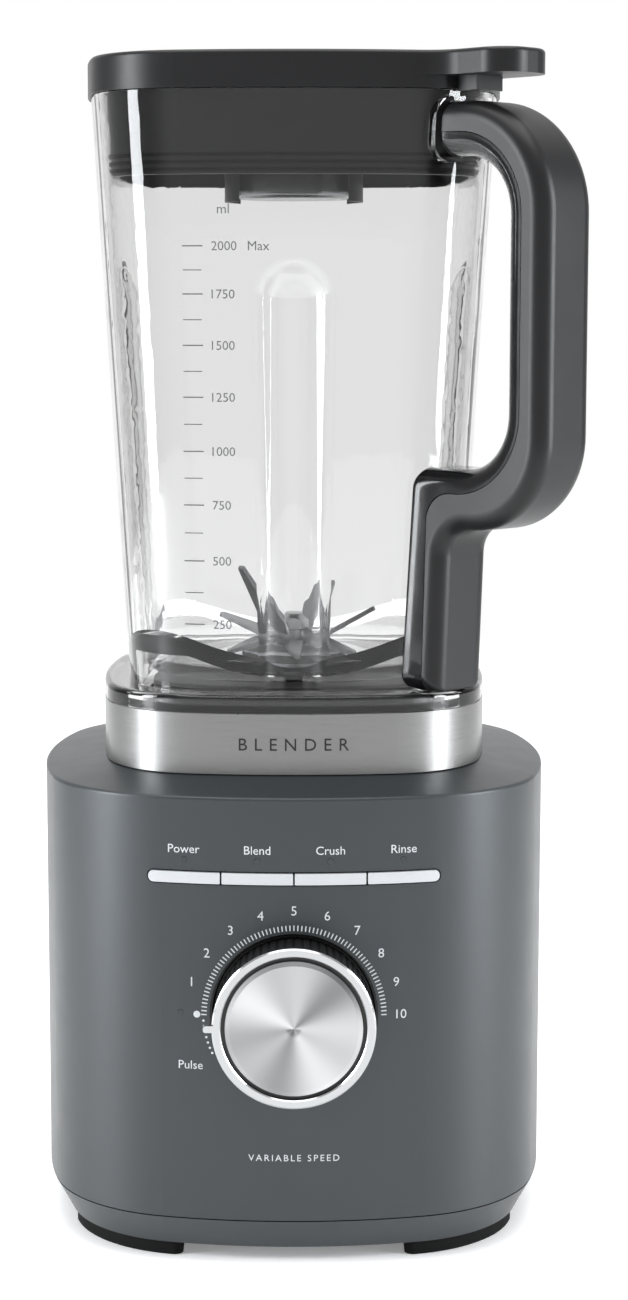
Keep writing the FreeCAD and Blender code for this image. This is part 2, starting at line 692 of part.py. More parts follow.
def knob_disc():
    """Spun metal disc in the middle of the dial."""
    low = KNOB_FACE - RING_H
    disc = turned([(0, low), (DISC_R, low), (DISC_R, KNOB_FACE - 0.6), (DISC_FACE_R, KNOB_FACE - 0.1),
                   (0, KNOB_FACE - 0.5)])
    return to_front(disc, DIAL_Z)


def knob_shaft():
    return to_front(rod(DIAL_SHAFT_R, DIAL_SHAFT_LOW, KNOB_FACE - RING_H - 3), DIAL_Z)


def button_centre(index):
    return (index - (BUTTON_COUNT - 1) / 2) * BUTTON_PITCH


def push_button(index):
    """One key of the bar: a curved cap that follows the front, with a guide stem."""
    centre = button_centre(index)
    half = BUTTON_PITCH / 2 - BUTTON_GAP / 2
    left = centre - half
    right = centre + half
    if index == 0:
        left -= BUTTON_GAP / 2
    if index == BUTTON_COUNT - 1:
        right += BUTTON_GAP / 2
    end_r = BUTTON_H * 0.47
    left_r = end_r if index == 0 else 0.3
    right_r = end_r if index == BUTTON_COUNT - 1 else 0.3
    low = -BUTTON_H / 2
    high = BUTTON_H / 2
    face = rounded_face([(left, low, left_r), (right, low, right_r), (right, high, right_r),
                         (left, high, left_r)], lambda a, b: Vector(a, b, 0))
    bar = to_front(face.extrude(UP * (BASE[0] + 5)), BUTTON_Z)
    skin = prism(inset(BASE, -BUTTON_PROUD), BUTTON_Z - 9, BUTTON_Z + 9)
    behind = prism(inset(BASE, BUTTON_THICK - BUTTON_PROUD), BUTTON_Z - 9, BUTTON_Z + 9)
    cap = bar.common(skin).cut(behind)
    stem_top = side_depth(BASE, centre) - 1.5
    stem = to_front(rod(STEM_R, STEM_END, stem_top, centre, 0), BUTTON_Z)
    return joined([cap, stem])


def button_frame():
    """Curved strip behind the keys that guides their stems."""
    strip = prism(inset(BASE, FRAME_BACK), BUTTON_Z - 6, BUTTON_Z + 4.5)
    strip = strip.cut(prism(inset(BASE, FRAME_BACK + 2), BUTTON_Z - 9, BUTTON_Z + 9))
    half = BUTTON_COUNT * BUTTON_PITCH / 2 + 4
    strip = strip.common(box((-half, half), (-BASE[0] - 1, -BOARD_Y), (BUTTON_Z - 9, BUTTON_Z + 9)))
    for index in range(BUTTON_COUNT):
        hole = rod(STEM_R + 0.25, 0, BASE[0] + 1, button_centre(index), 0)
        strip = strip.cut(to_front(hole, BUTTON_Z))
    return strip


def button_switches():
    solids = []
    for index in range(BUTTON_COUNT):
        centre = button_centre(index)
        body = box((centre - 3, centre + 3), (-3, 3), (BOARD_Y, STEM_END - BUTTON_TRAVEL - 1.2))
        plunger = rod(1.4, BOARD_Y + 1, STEM_END - BUTTON_TRAVEL - 0.2, centre, 0)
        solids.append(to_front(joined([body, plunger]), BUTTON_Z))
    return solids


def indicator_lights():
    """Light pipes from the board to the front face."""
    solids = []
    for x, z in LIGHTS:
        pipe = rod(LIGHT_R, BOARD_Y, side_depth(BASE, x) + 0.25, x, 0)
        solids.append(to_front(pipe, z))
    return solids


def control_board():
    low = BOARD_LOW - DIAL_Z
    high = BOARD_HIGH - DIAL_Z
    face = rounded_face([(-BOARD_HALF, low, 3), (BOARD_HALF, low, 3), (BOARD_HALF, high, 3),
                         (-BOARD_HALF, high, 3)], lambda a, b: Vector(a, b, BOARD_Y - BOARD_T))
    board = to_front(face.extrude(UP * BOARD_T), DIAL_Z)
    for x, z in BOARD_POSTS:
        board = board.cut(to_front(rod(1.7, BOARD_Y - 5, BOARD_Y + 5, x, z - DIAL_Z), DIAL_Z))
    return board


def board_screws():
    """Short screws from behind the board into the posts of the housing."""
    low = BOARD_Y - BOARD_T - 1.6
    return [to_front(screw(x, z - DIAL_Z, low, BOARD_Y + 5, False, 1.3, 2.8, 1.6), DIAL_Z)
            for x, z in BOARD_POSTS]


# ---------------------------------------------------------------- jar
def jar_wall_outline(z, gap=0.0):
    share = (z - Z_FLANGE) / (Z_JAR_TOP - Z_FLANGE)
    return inset(blend(JAR_LOW, JAR_HIGH, share), gap)


def jar_shape(gap, low, high):
    """Tapered body of the jar, inset by gap, between two heights."""
    return taper(jar_wall_outline(low, gap), low, jar_wall_outline(high, gap), high)


def flutes(radius, low):
    """Four leaning bars with round tops, one at the middle of each wall."""
    lean = math.atan((JAR_HIGH[0] - JAR_LOW[0]) / JAR_BODY_H - FLUTE_DEEPER / FLUTE_TOP)
    top = FLUTE_TOP - FLUTE_R
    bar = joined([rod(radius, -(Z_FLANGE - low), top), Part.makeSphere(radius, Vector(0, 0, top))])
    bar.Placement = Placement(Vector(JAR_LOW[0] + FLUTE_OUT, 0, Z_FLANGE),
                              Rotation(Vector(0, 1, 0), math.degrees(lean)))
    return around(bar, 4)


def fluted(body, radius, low):
    """A tapered body with the four flutes pressed in, their rims rounded."""
    for bar in flutes(radius, low):
        body = body.cut(bar)
    rims = [edge for edge in body.Edges if edge.BoundBox.ZMax < Z_FLANGE + FLUTE_TOP + JAR_WALL + 1
            and edge.BoundBox.ZLength > radius * 0.6 and edge.BoundBox.ZMax > Z_FLANGE + FLUTE_TOP / 2]
    return body.makeFillet(FLUTE_ROUND, rims)


def jar():
    """Clear square jar: fluted walls, thick floor, base flange, skirt and handle boss."""
    body = fluted(jar_shape(0, Z_JAR, Z_JAR_TOP), FLUTE_R, Z_FLANGE - 2)
    flange = prism(COLLAR, Z_JAR, Z_FLANGE)
    top_edges = [edge for edge in flange.Edges if edge.BoundBox.ZMin > Z_FLANGE - EDGE_GAP]
    flange = flange.makeFillet(1.9, top_edges)
    skirt_outline = inset(COLLAR, BAND_WALL + APART)
    skirt = prism(skirt_outline, Z_SKIRT, Z_JAR + 1)
    boss_zone = box((40, 130), (-HANDLE_HALF - BOSS_MARGIN, HANDLE_HALF + BOSS_MARGIN),
                    (Z_ARM_TOP - HIGH_ARM_T - BOSS_MARGIN, Z_ARM_TOP + BOSS_MARGIN))
    along = [edge for edge in boss_zone.Edges if edge.BoundBox.XLength > 80]
    boss_zone = boss_zone.makeFillet(7.0, along)
    boss = to_handle(boss_zone).common(jar_shape(-BOSS_PLATE, Z_JAR + 9, Z_JAR_TOP))
    whole = joined([body, flange, skirt, boss])
    cavity = fluted(jar_shape(JAR_WALL, Z_FLOOR, Z_JAR_TOP + 1), FLUTE_R + JAR_WALL, Z_FLOOR - 9)
    whole = whole.cut(cavity.common(jar_bowl(Z_FLOOR, BOWL_R, Z_JAR_TOP + 2)))
    floor_low = Z_FLOOR - JAR_FLOOR_T
    below = prism(UNDER_FLOOR, Z_SKIRT - 1, Z_FLANGE + HOLLOW_H)
    below = below.cut(jar_bowl(floor_low, BOWL_R + JAR_FLOOR_T / 2, Z_JAR_TOP))
    under = joined([prism(inset(skirt_outline, SKIRT_WALL), Z_SKIRT - 1, Z_JAR - 2.0), below])
    whole = whole.cut(under)
    whole = whole.cut(rod(HOUSING_R + FIT, Z_FLOOR - JAR_FLOOR_T - 1, Z_FLOOR + 1))
    return whole.cut(handle_pins(HANDLE_SCREW_R + FIT, LOOSE))


def jar_bowl(low, flat, high):
    """Everything above a dished surface: flat in the middle, rising towards the corners."""
    reach = corner_reach(JAR_HIGH) + 5.0
    return turned([(0, low), (flat, low, BOWL_ROUND), (reach, low + reach - flat), (reach, high),
                   (0, high)])


def handle_pins(radius, slack):
    """Bars along the handle's two fixing screws, from inside the jar's wall outwards."""
    return [to_handle(Part.makeCylinder(radius, length + slack, Vector(start, 0, z), Vector(1, 0, 0)))
            for z, start, length in HANDLE_SCREWS]


def jar_gasket():
    return ring(HOUSING_R + CARRIER_LIP, HOUSING_R + 0.2, Z_FLOOR, Z_FLOOR + 1.5)


# ---------------------------------------------------------------- handle
def side_plane(a, b):
    return Vector(a, -HANDLE_HALF, b)


def grip_outline(grow):
    """Limits and corner radius of the finger gap, grown outwards by grow."""
    low = Z_JAR + ARM_LOW + LOW_ARM_T - grow
    high = Z_ARM_TOP - HIGH_ARM_T + grow
    far = GRIP_IN + grow
    turn = GRIP_INNER_R + grow
    return low, high, far, turn


def handle_body():
    """The whole handle as one rounded loop, before it is split into liner and shell."""
    low, high, far, turn = grip_outline(0)
    bottom = Z_FLANGE + 0.3
    strip_top = Z_JAR + ARM_LOW
    outer_low_turn = turn + LOW_ARM_T - 8
    outer = rounded_face([(50, bottom, 0), (STRIP_R[0], bottom, 1.5), (STRIP_R[1], strip_top, 10),
                          (far + GRIP_T, strip_top, outer_low_turn),
                          (far + GRIP_T, Z_ARM_TOP, turn + GRIP_T), (50, Z_ARM_TOP, 0)], side_plane)
    solid = outer.extrude(Vector(0, 2 * HANDLE_HALF, 0))
    rims = [edge for edge in solid.Edges if edge.BoundBox.YLength < EDGE_GAP * 10
            and edge.BoundBox.XMax > 50.5]
    solid = solid.makeFillet(SHELL_ROUND, rims)
    gap = rounded_face([(56, low, 0), (far, low, turn), (far, high, turn), (56, high, 0)], side_plane)
    solid = solid.cut(gap.extrude(Vector(0, 2 * HANDLE_HALF, 0)))
    rims = []
    for edge in solid.Edges:
        span = edge.BoundBox
        flat = span.YLength < EDGE_GAP * 10 and abs(abs(span.YMin) - HANDLE_HALF) < 0.01
        if flat and span.ZMin > low - 0.01 and span.ZMax < high + 0.01 and span.XMax > 56.5 \
                and span.XMax < far + 0.01:
            rims.append(edge)
    solid = solid.makeFillet(LINER_ROUND, rims)
    near_jar = joined([jar_shape(-PARTING, Z_JAR + 1, Z_JAR_TOP),
                       jar_shape(-BOSS_PLATE - PARTING, Z_BOSS, Z_JAR_TOP)])
    solid = to_handle(solid).cut(near_jar)
    return solid.cut(handle_pins(HANDLE_SCREW_R + FIT, LOOSE))


def liner_zone(gap):
    """Region of the handle next to the fingers and the jar, less a parting gap."""
    low, high, far, turn = grip_outline(LINER_T - gap)
    bottom = Z_JAR
    strip = STRIP_R[0] - 6.5 - gap
    zone = rounded_face([(40, bottom, 0), (strip, bottom, 0), (strip + 2.5, low, 10 - gap),
                         (far, low, turn), (far, high, turn), (40, high, 0)],
                        lambda a, b: Vector(a, -HANDLE_HALF - 1, b))
    return to_handle(zone.extrude(Vector(0, 2 * HANDLE_HALF + 2, 0)))


def handle_screws():
    """Headless fixing screws that hold the handle to the jar, in the upper arm and the strip."""
    return handle_pins(HANDLE_SCREW_R, 0)


# ---------------------------------------------------------------- blades
def blade_housing():
    """Threaded metal carrier of the blades: flange on the floor, sleeve through it."""
    low = Z_FLOOR - JAR_FLOOR_T - 12
    lip = HOUSING_R + CARRIER_LIP
    body = turned([(0, low), (HOUSING_R - 1, low), (HOUSING_R, low + 1), (HOUSING_R, Z_FLOOR + 1.5),
                   (lip, Z_FLOOR + 1.5), (lip, Z_FLOOR + 2.6, 0.5), (HOUSING_R - 2, Z_HUB - APART),
                   (0, Z_HUB - APART)])
    body = body.cut(rod(BEARING_R, low - 1, low + BEARING_H))
    body = body.cut(rod(BEARING_R, Z_UP_BEARING, Z_UP_BEARING + BEARING_H))
    body = body.cut(rod(SEAL_R, Z_UP_BEARING + BEARING_H, Z_HUB))
    return body.cut(rod(SHAFT_R + 0.7, low - 1, Z_HUB))


def blade_bearings():
    low = Z_FLOOR - JAR_FLOOR_T - 12
    return [bearing(low), bearing(Z_UP_BEARING)]


def blade_seal():
    return ring(SEAL_R, SHAFT_R + 0.3, Z_UP_BEARING + BEARING_H, Z_HUB - APART)


def housing_nut():
    """Ribbed plastic nut that clamps the carrier from under the floor."""
    high = Z_FLOOR - JAR_FLOOR_T
    nut = ring(NUT_R, HOUSING_R, high - NUT_H, high)
    notch = rod(1.6, high - NUT_H - 1, high + 1, NUT_R + 0.6)
    for cut in around(notch, 16):
        nut = nut.cut(cut)
    return nut


def prong(wide, tip_wide, reach, bend_at, rise, turn, z):
    """One bent, pointed blade arm that runs out along +X and then tips up or down."""
    run = math.cos(math.radians(rise))
    tilted = (reach - bend_at) / run
    flat = box((0, bend_at), (-wide, wide), (z, z + BLADE_T))
    wing = box((0 if rise > 0 else -0.3, tilted), (-wide, wide), (0, BLADE_T))
    wing.Placement = Placement(Vector(bend_at, 0, z), Rotation(Vector(0, 1, 0), -rise))
    plan = rounded_face([(0, -wide / 2, 0), (bend_at + 2, -wide / 2, 0), (reach, wide * 0.15, 0),
                         (reach, wide * 0.15 + tip_wide, 0), (bend_at, wide / 2, 4), (0, wide / 2, 0)],
                        lambda a, b: Vector(a, b, z - 40)).extrude(UP * 80)
    arm = joined([flat, wing]).common(plan)
    arm.rotate(Vector(0, 0, 0), UP, turn)
    return arm


def blade(level, arms):
    """One stamped blade: a hub and its arms, given as (reach, bend at, rise, turn)."""
    z = Z_HUB + level * BLADE_T
    parts = [rod(8.0, z, z + BLADE_T)]
    for reach, bend_at, rise, turn in arms:
        parts.append(prong(ARM_WIDE, ARM_TIP_WIDE, reach, bend_at, rise, turn, z))
    return joined(parts).cut(rod(SHAFT_R, z - 60, z + 60))


def blade_nut():
    corner_r = 7.5
    face = rounded_face([(corner_r * math.cos(math.radians(60 * k)),
                          corner_r * math.sin(math.radians(60 * k)), 0) for k in range(6)],
                        lambda a, b: Vector(a, b, Z_HUB + 3 * BLADE_T))
    hexagon = face.extrude(UP * 5.5)
    dome = Part.makeSphere(9.0, Vector(0, 0, Z_HUB + 3 * BLADE_T - 2.2))
    return hexagon.common(dome).cut(rod(SHAFT_R, Z_HUB - 1, Z_BLADE_TOP))


def jar_coupling():
    high = Z_FLOOR - JAR_FLOOR_T - 12.6
    low = Z_DRIVE + COUPLING_H - SOCKET_DEPTH + 0.7
    return splined(SPLINE_TIP_R, SPLINE_R, SPLINE_WIDE, low, high).cut(rod(SHAFT_R, low + 3, high + 1))


# ---------------------------------------------------------------- lid and cap
def lid():
    """Square lid: thick rim, insert wall, filler neck, and a tab that reaches the handle."""
    rim = prism(LID, Z_LID, Z_LID_TOP)
    tab_plan = rounded_face([(50, -HANDLE_HALF, 0), (TAB_R, -HANDLE_HALF, TAB_ROUND),
                             (TAB_R, HANDLE_HALF, TAB_ROUND), (50, HANDLE_HALF, 0)], lambda a, b: Vector(a, b, Z_LID_TOP - TAB_H))
    tab = to_handle(tab_plan.extrude(UP * TAB_H))
    upper = joined([prism(LID, Z_LID_TOP - TAB_H, Z_LID_TOP), tab])
    inner_corners = [edge for edge in upper.Edges if edge.BoundBox.ZLength > TAB_H - 0.01
                     and edge.BoundBox.DiagonalLength < TAB_H + 0.01
                     and corner_reach(LID) - 6 < handle_run(edge) < corner_reach(LID) + 2]
    upper = upper.makeFillet(14.0, inner_corners)
    body = joined([rim, upper])
    top_edges = [edge for edge in body.Edges if edge.BoundBox.ZMin > Z_LID_TOP - EDGE_GAP]
    body = body.makeFillet(1.6, top_edges)
    post = box((POST_R - 4.2, POST_R + 4.2), (-POST_HALF, POST_HALF),
               (Z_ARM_TOP + 3.6, Z_LID_TOP - TAB_H + 1))
    body = joined([body, to_handle(post)])
    insert_low = Z_LID - INSERT_H
    insert = jar_shape(JAR_WALL + APART, insert_low, Z_JAR_TOP).fuse(
        prism(jar_wall_outline(Z_JAR_TOP, JAR_WALL + APART), Z_JAR_TOP, Z_LID_TOP - 5)).removeSplitter()
    body = joined([body, insert])
    hollow = taper(jar_wall_outline(insert_low, JAR_WALL + APART + LID_WALL), insert_low - EDGE_GAP,
                   jar_wall_outline(Z_JAR_TOP, JAR_WALL + APART + LID_WALL), Z_LID_TOP - LID_PLATE_T)
    body = body.cut(hollow)
    neck = ring(NECK_R, NECK_R - NECK_WALL, Z_LID_TOP - 14, Z_LID_TOP - LID_PLATE_T + 1)
    body = joined([body, neck])
    sides = ring(NECK_R, NECK_R - NECK_WALL, Z_LID_TOP - NECK_H, Z_LID_TOP - 13)
    window = box((-NECK_WINDOW, NECK_WINDOW), (-NECK_R - 1, NECK_R + 1), (Z_FLOOR, Z_LID_TOP))
    body = joined([body] + sides.cut(window).Solids)
    body = body.cut(rod(CAP_R + LOOSE, Z_LID_TOP - CAP_T - 0.3, Z_LID_TOP + 1))
    return body.cut(rod(NECK_R - NECK_WALL, Z_FLOOR, Z_LID_TOP + 1))


def handle_run(edge):
    """How far along the handle's direction the middle of an edge lies."""
    middle = edge.BoundBox.Center
    return (middle.x - middle.y) / math.sqrt(2)


def lid_seal():
    """Rubber rings round the insert wall, reaching towards the jar."""
    rings = []
    for index in range(SEAL_COUNT):
        low = Z_LID - INSERT_H + 0.9 + index * SEAL_PITCH
        high = low + SEAL_H
        inside = jar_shape(JAR_WALL + APART, low - 1, high + 1)
        rings.append(jar_shape(JAR_WALL + 0.3, low, high).cut(inside))
    return rings


def filler_cap():
    """Flat round cap that closes the filler opening, flush with the lid."""
    plate = turned([(0, Z_LID_TOP - CAP_T), (CAP_R, Z_LID_TOP - CAP_T), (CAP_R, Z_LID_TOP, 1.0),
                    (0, Z_LID_TOP)])
    grip = box((-CAP_R * 0.55, CAP_R * 0.55), (-2.2, 2.2), (Z_LID_TOP - 1.2, Z_LID_TOP + 1))
    collar = ring(CUP_R - CUP_WALL - APART, CUP_R - CUP_WALL - APART - 1.5, Z_LID_TOP - CAP_T - 6,
                  Z_LID_TOP - CAP_T + 0.5)
    return joined([plate, collar]).cut(grip)


def measuring_cup():
    """Grey cup that hangs in the filler neck and screws to the cap."""
    high = Z_LID_TOP - CAP_T
    low = Z_LID_TOP - NECK_H + APART
    cup = turned([(0, low), (CUP_R - 2.2, low, 3), (CUP_R, high), (0, high)])
    return cup.cut(turned([(0, low + CUP_WALL), (CUP_R - 2.2 - CUP_WALL, low + CUP_WALL, 2),
                           (CUP_R - CUP_WALL, high + 1), (0, high + 1)]))


# ---------------------------------------------------------------- places worked out from the sizes
SEAT_OPENING = inset(COLLAR, 11.6)
SEAT_RAISED = inset(COLLAR, 17.0)
SEAT_SCREW_OFFSET = (corner_reach(COLLAR) - 7.2) / math.sqrt(2)
Z_SEAT = Z_TOP + 3.2
Z_SKIRT = Z_JAR - SKIRT_H
Z_DAMPER = Z_SKIRT - LOOSE
Z_SEAT_TOP = Z_FLOOR - JAR_FLOOR_T - 1.5 * APART
UNDER_FLOOR = inset(COLLAR, 12.5)
Z_DRIVE = Z_TOP + 1.0
Z_SHAFT_TOP = Z_DRIVE + COUPLING_H - SOCKET_DEPTH - 1.5
Z_MOUNT = Z_TOP - 22.0
Z_UPPER = Z_MOUNT - DAMPER_H - BRACKET_T
Z_BRUSH = Z_UPPER - BRUSH[2] / 2 - 2.0
Z_FAN = Z_PLATE + 14.0
Z_LOWER = Z_FAN + FAN_H + 4.0 + BEARING_H
Z_CORE = Z_LOWER + BRACKET_T + 14.0
CORE_H = Z_BRUSH - COMMUTATOR_H / 2 - 10.0 - Z_CORE
BOLT_X = STATOR_HALF[0] - 6.5
BOLTS = [(side_x * BOLT_X, side_y * BOLT_Y) for side_x in (-1, 1) for side_y in (-1, 1)]
FOOT_PEG = (corner_reach(inset(BASE, FOOT_INSET + FOOT_WIDE / 2))) / math.sqrt(2)
GLAND_R = CORD_R + GLAND_WALL
BOARD_Y = BASE[0] - BOARD_DEPTH
BOARD_LOW = DIAL_Z - BEZEL_R - 1.0
BOARD_HIGH = BUTTON_Z + BOARD_MARGIN
BOARD_POSTS = [(side * (BOARD_HALF - POST_IN), z) for side in (-1, 1)
               for z in (BOARD_LOW + POST_IN, BOARD_HIGH - POST_IN)]
LIGHTS = [((index - (BUTTON_COUNT - 1) / 2) * BUTTON_PITCH, BUTTON_Z + LIGHT_RISE)
          for index in range(BUTTON_COUNT)] + [(POWER_LIGHT_X, DIAL_Z + 0.4)]
BEZEL_FRONT = side_depth(BASE, BEZEL_R) - 0.1
BEZEL_FLOOR = BASE[0] - BEZEL_DEEP
BEZEL_BACK = side_depth(inset(BASE, BASE_WALL), BEZEL_R + 4) - 2.2
KNOB_FACE = BASE[0] + KNOB_FRONT
DIAL_SHAFT_LOW = BOARD_Y + 2.5
FRAME_BACK = BUTTON_THICK + BUTTON_TRAVEL + 0.5
STEM_END = side_depth(BASE, BUTTON_PITCH * (BUTTON_COUNT - 1) / 2) - 8.0
Z_HUB = Z_FLOOR + 5.0
Z_BLADE_TOP = Z_HUB + 3 * BLADE_T + 5.0
Z_UP_BEARING = Z_FLOOR - 5.0
Z_ARM_TOP = Z_JAR_TOP - HANDLE_DROP
Z_BOSS = Z_ARM_TOP - HIGH_ARM_T - BOSS_MARGIN - 1.0
Z_STRIP_SCREW = Z_FLANGE + 20.0
HANDLE_SCREWS = [(Z_ARM_TOP - HIGH_ARM_T / 2, corner_reach(jar_wall_outline(Z_ARM_TOP)) - 1.5, 14.0),
                 (Z_STRIP_SCREW, corner_reach(jar_wall_outline(Z_STRIP_SCREW)) - 1.5, 8.0)]
CUP_R = NECK_R - NECK_WALL - LOOSE


# ---------------------------------------------------------------- the sub-parts
def blade_arms():
    """Arms of the three stamped blades, as (reach, bend at, rise, turn), lowest first."""
    return [[(BLADE_TIP_R - 3, 13.0, -14.0, turn) for turn in (318.0, 268.0, 203.0, 95.0)],
            [(BLADE_TIP_R, 12.0, 29.0, 350.0), (BLADE_TIP_R, 12.0, 18.0, 150.0)],
            [(BLADE_TIP_R, 8.5, 50.0, 225.0), (BLADE_TIP_R - 4, 8.5, 42.0, 50.0)]]


def build():
    """Every sub-part, by node name; a list holds identical pieces of one node."""
    arms = blade_arms()
    nodes = {
        "motor_housing": motor_housing(),
        "base_plate": base_plate(),
        "feet": feet(),
        "collar_band": collar_band(),
        "jar_seat": jar_seat(),
        "seat_damper": seat_damper(),
        "seat_screws": [screw(x, y, Z_TOP - 11.5, Z_SEAT - 0.1, True, 1.6, 3.1, 1.7)
                        for x, y in corners4(SEAT_SCREW_OFFSET)],
        "cord_gland": cord_gland(),
        "base_screws": [screw(x, y, FOOT_H + 0.2, Z_PLATE + 18, False)
                        for x, y in corners4(SCREW_OFFSET)],
        "upper_bracket": bracket(Z_UPPER, Z_CORE + CORE_H, True),
        "lower_bracket": bracket(Z_LOWER, Z_CORE, False),
        "stator_core": stator_core(),
        "field_windings": field_windings(),
        "motor_bearings": [bearing(Z_UPPER), bearing(Z_LOWER + BRACKET_T - BEARING_H)],
        "brush_holders": brush_holders(),
        "carbon_brushes": carbon_brushes(),
        "motor_dampers": motor_dampers(),
        "motor_screws": [screw(x, y, Z_UPPER - 2.4, Z_MOUNT + 14, False)
                         for x, y in corners4(DAMPER_OFFSET)],
        "stator_bolts": [screw(x, y, Z_CORE - LEG_FOOT_T - 2.4, Z_CORE + CORE_H + LEG_FOOT_T + 3, False)
                         for x, y in BOLTS],
        "control_board": control_board(),
        "board_screws": board_screws(),
        "dial_bezel": dial_bezel(),
        "dial_encoder": dial_encoder(),
        "button_frame": button_frame(),
        "button_switches": button_switches(),
        "indicator_lights": indicator_lights(),
        "air_duct": air_duct(),
        "armature_shaft": rod(SHAFT_R, Z_FAN - 2, Z_SHAFT_TOP),
        "armature_core": armature_core(),
        "armature_windings": armature_windings(),
        "commutator": commutator(),
        "cooling_fan": cooling_fan(),
        "drive_coupling": drive_coupling(),
        "jar": jar(),
        "jar_gasket": jar_gasket(),
        "handle_liner": handle_body().common(liner_zone(0)),
        "handle_shell": handle_body().cut(liner_zone(-PARTING)),
        "handle_screws": handle_screws(),
        "blade_housing": blade_housing(),
        "blade_bearings": blade_bearings(),
        "blade_seal": blade_seal(),
        "housing_nut": housing_nut(),
        "blade_shaft": rod(SHAFT_R, Z_FLOOR - JAR_FLOOR_T - 18, Z_BLADE_TOP),
        "blade_lower": blade(0, arms[0]),
        "blade_middle": blade(1, arms[1]),
        "blade_upper": blade(2, arms[2]),
        "blade_nut": blade_nut(),
        "jar_coupling": jar_coupling(),
        "lid": lid(),
        "lid_seal": lid_seal(),
        "filler_cap": filler_cap(),
        "measuring_cup": measuring_cup(),
        "knob_grip": knob_grip(),
        "knob_ring": knob_ring(),
        "knob_disc": knob_disc(),
        "knob_shaft": knob_shaft(),
    }
    for index in range(BUTTON_COUNT):
        nodes["button_%d" % (index + 1)] = push_button(index)
    return nodes


os.makedirs("parts", exist_ok=True)
for name, made in build().items():
    solids = made if isinstance(made, list) else [made]
    pieces = [piece for solid in solids for piece in solid.Solids]
    if not all(piece.isValid() for piece in pieces):
        print("not valid:", name)
    if len(pieces) != len(solids):
        print("loose pieces:", name, len(pieces), [round(p.Volume, 1) for p in pieces])
    shape = pieces[0] if len(pieces) == 1 else Part.makeCompound(pieces)
    shape.exportStep(os.path.join("parts", name + ".step"))
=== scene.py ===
"""Countertop blender: finishes, printed marks, stage, lights and camera round the CAD frame."""

import json
import math

import bmesh
import bpy
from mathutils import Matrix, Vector
from mathutils.bvhtree import BVHTree


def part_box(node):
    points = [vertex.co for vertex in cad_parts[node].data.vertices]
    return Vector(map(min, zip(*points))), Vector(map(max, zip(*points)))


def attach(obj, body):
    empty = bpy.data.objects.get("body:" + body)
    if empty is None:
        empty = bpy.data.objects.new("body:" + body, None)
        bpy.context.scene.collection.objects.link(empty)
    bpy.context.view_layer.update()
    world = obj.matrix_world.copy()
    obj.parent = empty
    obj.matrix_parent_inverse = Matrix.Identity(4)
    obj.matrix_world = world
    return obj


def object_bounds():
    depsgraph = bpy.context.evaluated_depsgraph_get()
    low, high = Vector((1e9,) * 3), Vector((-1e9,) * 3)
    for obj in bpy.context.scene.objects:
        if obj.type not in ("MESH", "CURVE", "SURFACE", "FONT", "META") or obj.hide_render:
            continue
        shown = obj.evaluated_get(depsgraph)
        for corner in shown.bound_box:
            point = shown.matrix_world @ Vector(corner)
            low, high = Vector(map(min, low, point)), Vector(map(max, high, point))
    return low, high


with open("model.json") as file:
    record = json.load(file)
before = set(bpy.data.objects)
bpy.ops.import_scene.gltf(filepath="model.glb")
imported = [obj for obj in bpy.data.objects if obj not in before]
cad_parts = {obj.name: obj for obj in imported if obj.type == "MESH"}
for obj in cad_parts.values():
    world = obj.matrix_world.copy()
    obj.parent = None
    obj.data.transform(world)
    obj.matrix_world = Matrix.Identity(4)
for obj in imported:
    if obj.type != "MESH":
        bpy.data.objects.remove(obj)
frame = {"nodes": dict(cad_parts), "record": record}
nodes = frame["nodes"]
cad_low, cad_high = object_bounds()

MM = 0.001

# ---- printed marks, in millimetres ----
PRINT_T = 0.06
PRINT_LIFT = 0.04
LETTER_DEPTH = 0.001        # half the depth of raw lettering, before it is scaled
HALF_TURN = 180             # degrees that the dial's printed scale covers
TICK_IN, TICK_OUT = 30.0, 31.9
TICK_STEP = 2.5             # degrees
TICK_WIDE = 0.42
START_DOT_AT, START_DOT_R = 33.4, 1.2
PULSE_DOTS = 7
PULSE_FROM, PULSE_STEP = 184, 3.6   # degrees
PULSE_DOT_AT, PULSE_DOT_R = 31.2, 0.42
NUMBERS = 10
NUMBER_R = 37.0
NUMBER_H = 3.2
LABEL_H = 2.9
LABEL_Z = 147.4
PULSE_X, PULSE_Z = -35.6, 71.5
FOOT_LABEL_Z = 39.2
FOOT_LABEL_H = 2.3
FOOT_SPACING = 1.35
COLLAR_LABEL_H = 4.2
COLLAR_LABEL_T = 0.25
COLLAR_SPACING = 1.7
MARK_STEP = 250             # millilitres
MARK_HEIGHTS = (221.0, 243.3, 262.8, 281.4, 300.0, 317.7, 335.1, 351.3)
MARK_LEFT, MARK_RIGHT, MARK_T = -38.0, -31.0, 0.45
BETWEEN_LEFT, BETWEEN_RIGHT, BETWEEN_T = -37.8, -31.4, 0.35
MARK_NUMBER_X, MARK_NUMBER_H = -28.0, 3.1
LIMIT_X = -15.6
UNIT_X, UNIT_UP, UNIT_H = -24.0, 12.4, 3.2

# ---- camera ----
CAMERA_BACK = 0.9844
CAMERA_Z = 0.3367
CAMERA_PITCH = math.degrees(0.134)
FOCAL_MM = 74.11
SHIFT_X = 0.01546

# ---- floor and lights, in metres ----
FLOOR_R = 1.6
FLOOR_GAP = 0.0002
AIM = (0, 0, 0.2)
STRIP_X, STRIP_Y, STRIP_Z = 1.33, -0.43, 0.45
STRIP_WIDE, STRIP_TALL = 0.35, 1.1
STRIP_TINT = (0.94, 0.97, 1.0)
OVERHEAD_Y, OVERHEAD_Z = -0.1, 1.7
OVERHEAD_SIDE = 1.3


